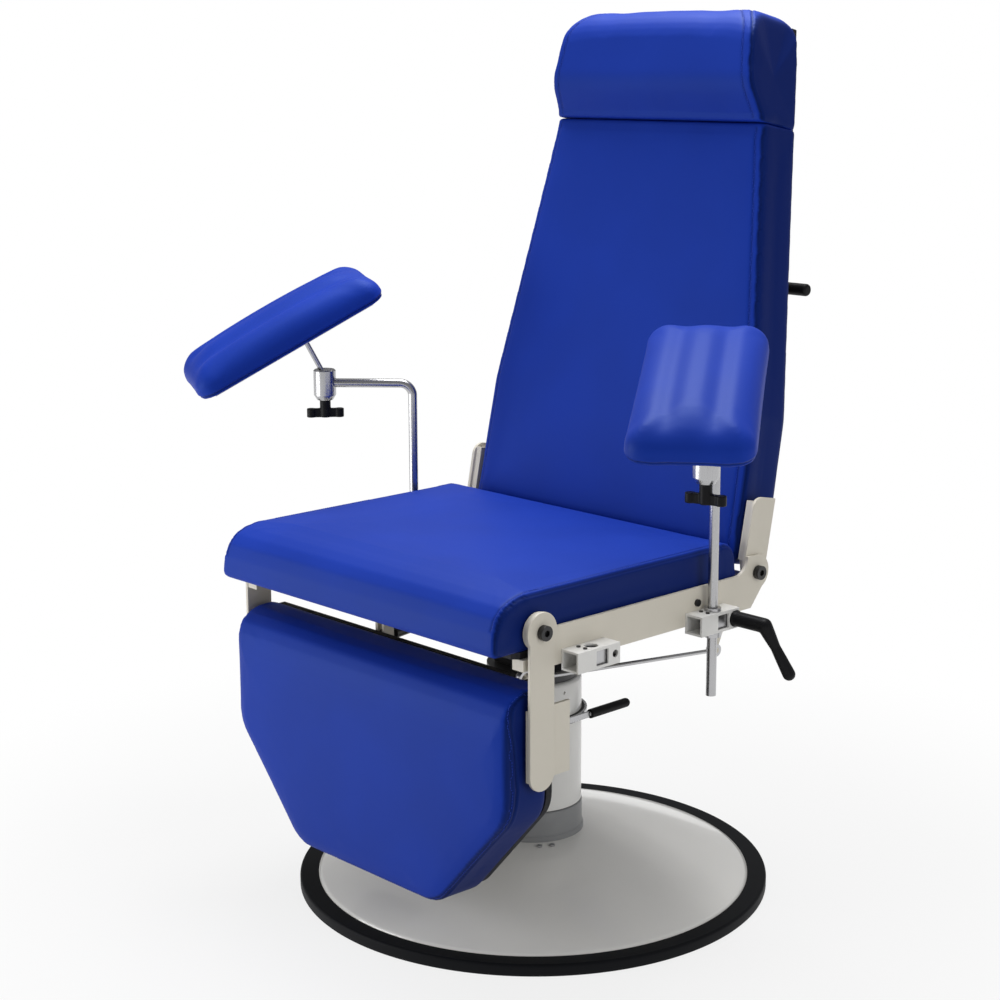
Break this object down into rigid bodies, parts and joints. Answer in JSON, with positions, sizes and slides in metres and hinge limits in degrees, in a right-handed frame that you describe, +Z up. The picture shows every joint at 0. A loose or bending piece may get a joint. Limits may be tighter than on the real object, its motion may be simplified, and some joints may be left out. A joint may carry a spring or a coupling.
{
  "type": "phlebotomy chair",
  "caption": "Reclining blood-drawing chair on a round lifting column base, with padded seat, tapered backrest with headrest, hanging leg rest and tilting padded armrests on posts",
  "frame": {"origin": "on the floor under the lifting column's axis", "axes": "+Z up; the sitter faces -Y; +X is to the sitter's left"},
  "size_m": [1.1233, 0.7166, 1.2738],
  "materials": {
    "vinyl": "semi-matt blue vinyl",
    "cream_paint": "semi-gloss cream powder coat",
    "cream_gloss": "gloss cream-white",
    "white_paint": "semi-gloss white powder coat",
    "chrome": "bright chrome",
    "steel": "bare bright steel",
    "black_plastic": "matt black",
    "black_rubber": "matt black rubber",
    "black_steel": "semi-gloss black",
    "dark_steel": "dark grey paint",
    "grey_plastic": "silver-grey plastic",
    "white_plastic": "white bearing plastic",
    "plywood": "black-stained plywood"
  },
  "bodies": {
    "base": {"base_ring": "black_rubber", "base_dish": "cream_gloss", "ballast_plate": "dark_steel", "dish_screws": "steel", "column_seal": "grey_plastic", "column_collar": "grey_plastic", "guide_tube": "steel", "guide_bush": "white_plastic", "lift_cylinder": "dark_steel"},
    "lift": {"column_sleeve": "white_paint", "lift_ram": "chrome", "swivel_bearing": "dark_steel", "lever_bearing": "black_plastic"},
    "column_lever": {"lever_band": "chrome", "lever_grip": "black_plastic"},
    "seat": {"seat_pillar": "dark_steel", "seat_frame": "cream_paint", "seat_plate_left": "cream_paint", "seat_plate_right": "cream_paint", "seat_board": "plywood", "seat_cushion": "vinyl", "front_brackets": "white_paint", "rear_brackets": "white_paint", "clamp_blocks": "steel", "pivot_bolts": "black_steel", "frame_screws": "black_steel"},
    "backrest": {"back_plate_left": "cream_paint", "back_plate_right": "cream_paint", "back_frame": "cream_paint", "back_board": "plywood", "back_cushion": "vinyl", "headrest_cushion": "vinyl", "handle_brackets": "black_plastic"},
    "release_bar": {"release_bar": "black_plastic"},
    "legrest": {"legrest_plate_left": "cream_paint", "legrest_plate_right": "cream_paint", "legrest_frame": "cream_paint", "legrest_board": "plywood", "legrest_cushion": "vinyl"},
    "link": {"link_rod": "steel"},
    "gas_cylinder": {"gas_cylinder": "black_steel"},
    "gas_rod": {"gas_rod": "steel"},
    "arm_bush_left": {"arm_bush_left": "steel"},
    "arm_left": {"arm_post_left": "chrome", "ball_clamp_left": "chrome"},
    "wing_knob_left": {"wing_knob_left": "black_plastic"},
    "ball_left": {"ball_stud_left": "chrome"},
    "pad_left": {"pad_plate_left": "steel", "arm_pad_left": "vinyl"},
    "clamp_lever_left": {"clamp_lever_left": "black_plastic"},
    "arm_bush_right": {"arm_bush_right": "steel"},
    "arm_right": {"arm_post_right": "chrome", "ball_clamp_right": "chrome"},
    "wing_knob_right": {"wing_knob_right": "black_plastic"},
    "ball_right": {"ball_stud_right": "chrome"},
    "pad_right": {"pad_plate_right": "steel", "arm_pad_right": "vinyl"},
    "clamp_lever_right": {"clamp_lever_right": "black_plastic"}
  },
  "joints": [
    {"name": "lift_slide", "type": "slide", "parent": "base", "child": "lift", "axis": [0, 0, 1], "range_m": [0, 0.15]},
    {"name": "column_lever_turn", "type": "hinge", "parent": "lift", "child": "column_lever", "pos_m": [0, 0, 0.2625], "axis": [0, 0, 1], "range_deg": [0, 25], "stiffness_Nm_per_rad": 1.5},
    {"name": "seat_swivel", "type": "hinge", "parent": "lift", "child": "seat", "pos_m": [0, 0, 0.33], "axis": [0, 0, 1], "continuous": true},
    {"name": "recline", "type": "hinge", "parent": "seat", "child": "backrest", "pos_m": [0, 0.153, 0.498], "axis": [-1, 0, 0], "range_deg": [0, 60]},
    {"name": "leg_lift", "type": "hinge", "parent": "seat", "child": "legrest", "pos_m": [0, -0.276, 0.498], "axis": [-1, 0, 0], "range_deg": [0, 76]},
    {"name": "link_turn", "type": "hinge", "parent": "backrest", "child": "link", "pos_m": [0.222, 0.152, 0.368], "axis": [-1, 0, 0], "range_deg": [-68, 2]},
    {"name": "gas_swing", "type": "hinge", "parent": "seat", "child": "gas_cylinder", "pos_m": [-0.07, -0.225, 0.406], "axis": [1, 0, 0], "range_deg": [-2, 4]},
    {"name": "gas_stroke", "type": "slide", "parent": "gas_cylinder", "child": "gas_rod", "axis": [0, 0.996, 0.089], "range_m": [-0.062, 0.001]},
    {"name": "release_squeeze", "type": "hinge", "parent": "backrest", "child": "release_bar", "pos_m": [0, 0.31242, 0.90539], "axis": [-1, 0, 0], "range_deg": [0, 12], "stiffness_Nm_per_rad": 4},
    {"name": "arm_turn_left", "type": "hinge", "parent": "seat", "child": "arm_bush_left", "pos_m": [0.31, 0.0405, 0.453], "axis": [0, 0, 1], "range_deg": [-25, 75]},
    {"name": "arm_height_left", "type": "slide", "parent": "arm_bush_left", "child": "arm_left", "axis": [0, 0, 1], "range_m": [-0.14, 0.08]},
    {"name": "wing_knob_turn_left", "type": "hinge", "parent": "arm_left", "child": "wing_knob_left", "pos_m": [0.39014, -0.07185, 0.66], "axis": [0, 0, 1], "range_deg": [-180, 180]},
    {"name": "pad_tilt_left", "type": "hinge", "parent": "arm_left", "child": "ball_left", "pos_m": [0.39014, -0.07185, 0.711], "axis": [0.8069, 0.5906, 0.0105], "range_deg": [-18.5, 10]},
    {"name": "pad_turn_left", "type": "hinge", "parent": "ball_left", "child": "pad_left", "pos_m": [0.39014, -0.07185, 0.711], "axis": [0.1794, -0.2619, 0.9483], "range_deg": [-90, 90]},
    {"name": "clamp_lever_turn_left", "type": "hinge", "parent": "seat", "child": "clamp_lever_left", "pos_m": [0.325, 0.0705, 0.453], "axis": [1, 0, 0], "range_deg": [-45, 45]},
    {"name": "arm_turn_right", "type": "hinge", "parent": "seat", "child": "arm_bush_right", "pos_m": [-0.31, 0.0405, 0.453], "axis": [0, 0, -1], "range_deg": [-35, 75]},
    {"name": "arm_height_right", "type": "slide", "parent": "arm_bush_right", "child": "arm_right", "axis": [0, 0, 1], "range_m": [-0.15, 0.07]},
    {"name": "wing_knob_turn_right", "type": "hinge", "parent": "arm_right", "child": "wing_knob_right", "pos_m": [-0.4106, -0.05397, 0.67], "axis": [0, 0, 1], "range_deg": [-180, 180]},
    {"name": "pad_tilt_right", "type": "hinge", "parent": "arm_right", "child": "ball_right", "pos_m": [-0.4106, -0.05397, 0.721], "axis": [0.9024, -0.4246, -0.0732], "range_deg": [-28, 3]},
    {"name": "pad_turn_right", "type": "hinge", "parent": "ball_right", "child": "pad_right", "pos_m": [-0.4106, -0.05397, 0.721], "axis": [-0.1414, -0.4523, 0.8806], "range_deg": [-90, 90]},
    {"name": "clamp_lever_turn_right", "type": "hinge", "parent": "seat", "child": "clamp_lever_right", "pos_m": [-0.325, 0.0705, 0.453], "axis": [1, 0, 0], "range_deg": [-45, 45]}
  ],
  "couplings": [
    {"joint": "leg_lift", "follows": "recline", "ratio": 1.225},
    {"joint": "link_turn", "follows": "recline", "ratio": -1.118},
    {"joint": "gas_swing", "follows": "recline", "ratio": 0.028},
    {"joint": "gas_stroke", "follows": "recline", "m_per_rad": -0.0565}
  ]
}
